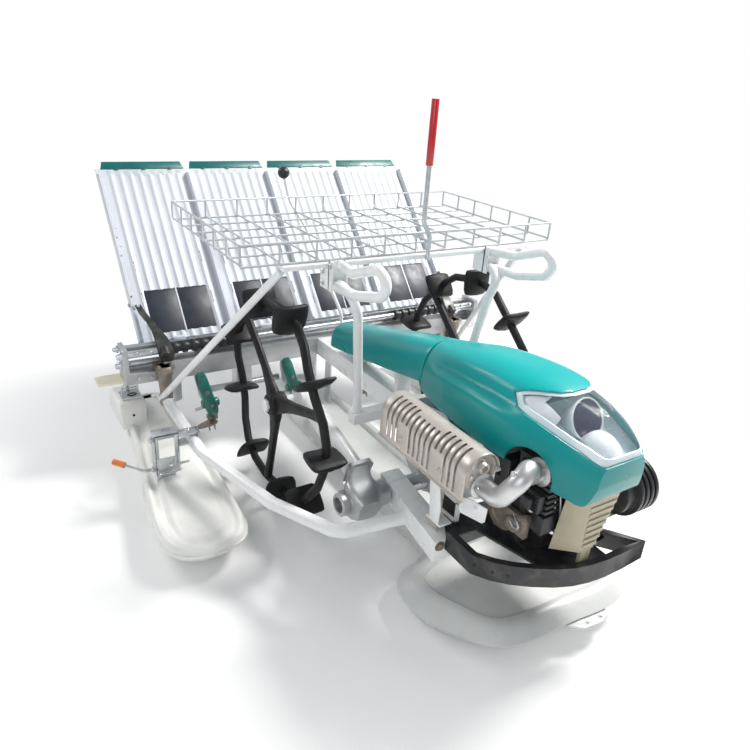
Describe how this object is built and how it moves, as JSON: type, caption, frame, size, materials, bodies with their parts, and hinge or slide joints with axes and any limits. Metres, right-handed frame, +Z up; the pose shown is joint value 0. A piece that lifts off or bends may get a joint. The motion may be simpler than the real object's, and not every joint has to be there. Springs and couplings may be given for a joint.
{
  "type": "walk-behind rice transplanter",
  "caption": "Walk-behind rice transplanter with engine under a teal hood, lugged drive wheels on swing arms, wire seedling rack, sliding ribbed tray and floats",
  "frame": {"origin": "centre of the bounding box's bottom face, on the ground that the floats rest on", "axes": "+X forward to the engine, +Y to the machine's left, +Z up"},
  "size_m": [2.2809, 1.5328, 1.157],
  "materials": {
    "hood_plastic": "moulded, glossy",
    "white_paint": "powder coat",
    "black_paint": "satin paint",
    "cast_alloy": "as cast",
    "zinc_steel": "zinc plated",
    "guard_paint": "heat resistant paint",
    "lug_rubber": "matt",
    "black_plastic": "grained",
    "float_plastic": "blow moulded",
    "tray_plastic": "extruded",
    "belt_rubber": "ribbed",
    "strip_plastic": "moulded",
    "clear_plastic": "clear cover",
    "lamp_silver": "reflector",
    "teal_paint": "paint",
    "orange_plastic": "moulded",
    "red_plastic": "sleeve",
    "cream_paint": "paint"
  },
  "bodies": {
    "chassis": {"gearbox": "cast_alloy", "pivot_tube": "zinc_steel", "engine": "black_paint", "engine_beams": "white_paint", "bumper": "black_paint", "hood": "hood_plastic", "tail_cover": "hood_plastic", "headlight_lens": "clear_plastic", "headlamp": "lamp_silver", "grille_panel": "guard_paint", "muffler": "guard_paint", "muffler_guard": "guard_paint", "exhaust_elbow": "zinc_steel", "air_cleaner": "black_plastic", "middle_float": "float_plastic", "side_float_right": "float_plastic", "side_float_left": "float_plastic", "float_yokes": "zinc_steel", "depth_levers": "zinc_steel", "depth_knobs": "orange_plastic", "middle_float_mounts": "zinc_steel", "side_tubes": "white_paint", "rack_struts": "white_paint", "rack_posts": "white_paint", "seedling_rack": "white_paint", "rack_front_bar": "white_paint", "tray_supports": "zinc_steel", "middle_pole": "zinc_steel", "pole_grip": "red_plastic", "main_pipe": "white_paint", "planting_beam": "cast_alloy", "feed_rail": "zinc_steel", "feed_screw": "zinc_steel", "feed_bellows": "belt_rubber", "end_brackets": "cast_alloy", "rail_end_plates": "cream_paint", "planting_cases": "cast_alloy", "planting_arms": "teal_paint", "feed_levers": "black_paint", "handlebars": "white_paint", "hand_grips": "lug_rubber", "shift_rod": "white_paint", "shift_knob": "black_plastic"},
    "swing_right": {"swing_arm_right": "white_paint", "swing_casting_right": "cast_alloy"},
    "swing_left": {"swing_arm_left": "white_paint", "swing_casting_left": "cast_alloy"},
    "wheel_right": {"wheel_right": "lug_rubber"},
    "wheel_left": {"wheel_left": "lug_rubber"},
    "tray": {"tray_panel": "tray_plastic", "tray_belts": "belt_rubber", "tray_strips": "strip_plastic"}
  },
  "joints": [
    {"name": "swing_right", "type": "hinge", "parent": "chassis", "child": "swing_right", "pos_m": [0.6345, -0.25, 0.23], "axis": [0, 1, 0], "range_deg": [-32, 9]},
    {"name": "wheel_right", "type": "hinge", "parent": "swing_right", "child": "wheel_right", "pos_m": [0.2545, -0.343, 0.333], "axis": [0, 1, 0], "continuous": true},
    {"name": "swing_left", "type": "hinge", "parent": "chassis", "child": "swing_left", "pos_m": [0.6345, 0.25, 0.23], "axis": [0, 1, 0], "range_deg": [-32, 9]},
    {"name": "wheel_left", "type": "hinge", "parent": "swing_left", "child": "wheel_left", "pos_m": [0.2545, 0.343, 0.333], "axis": [0, 1, 0], "continuous": true},
    {"name": "tray_slide", "type": "slide", "parent": "chassis", "child": "tray", "axis": [0, 1, 0], "range_m": [-0.135, 0.135]}
  ]
}
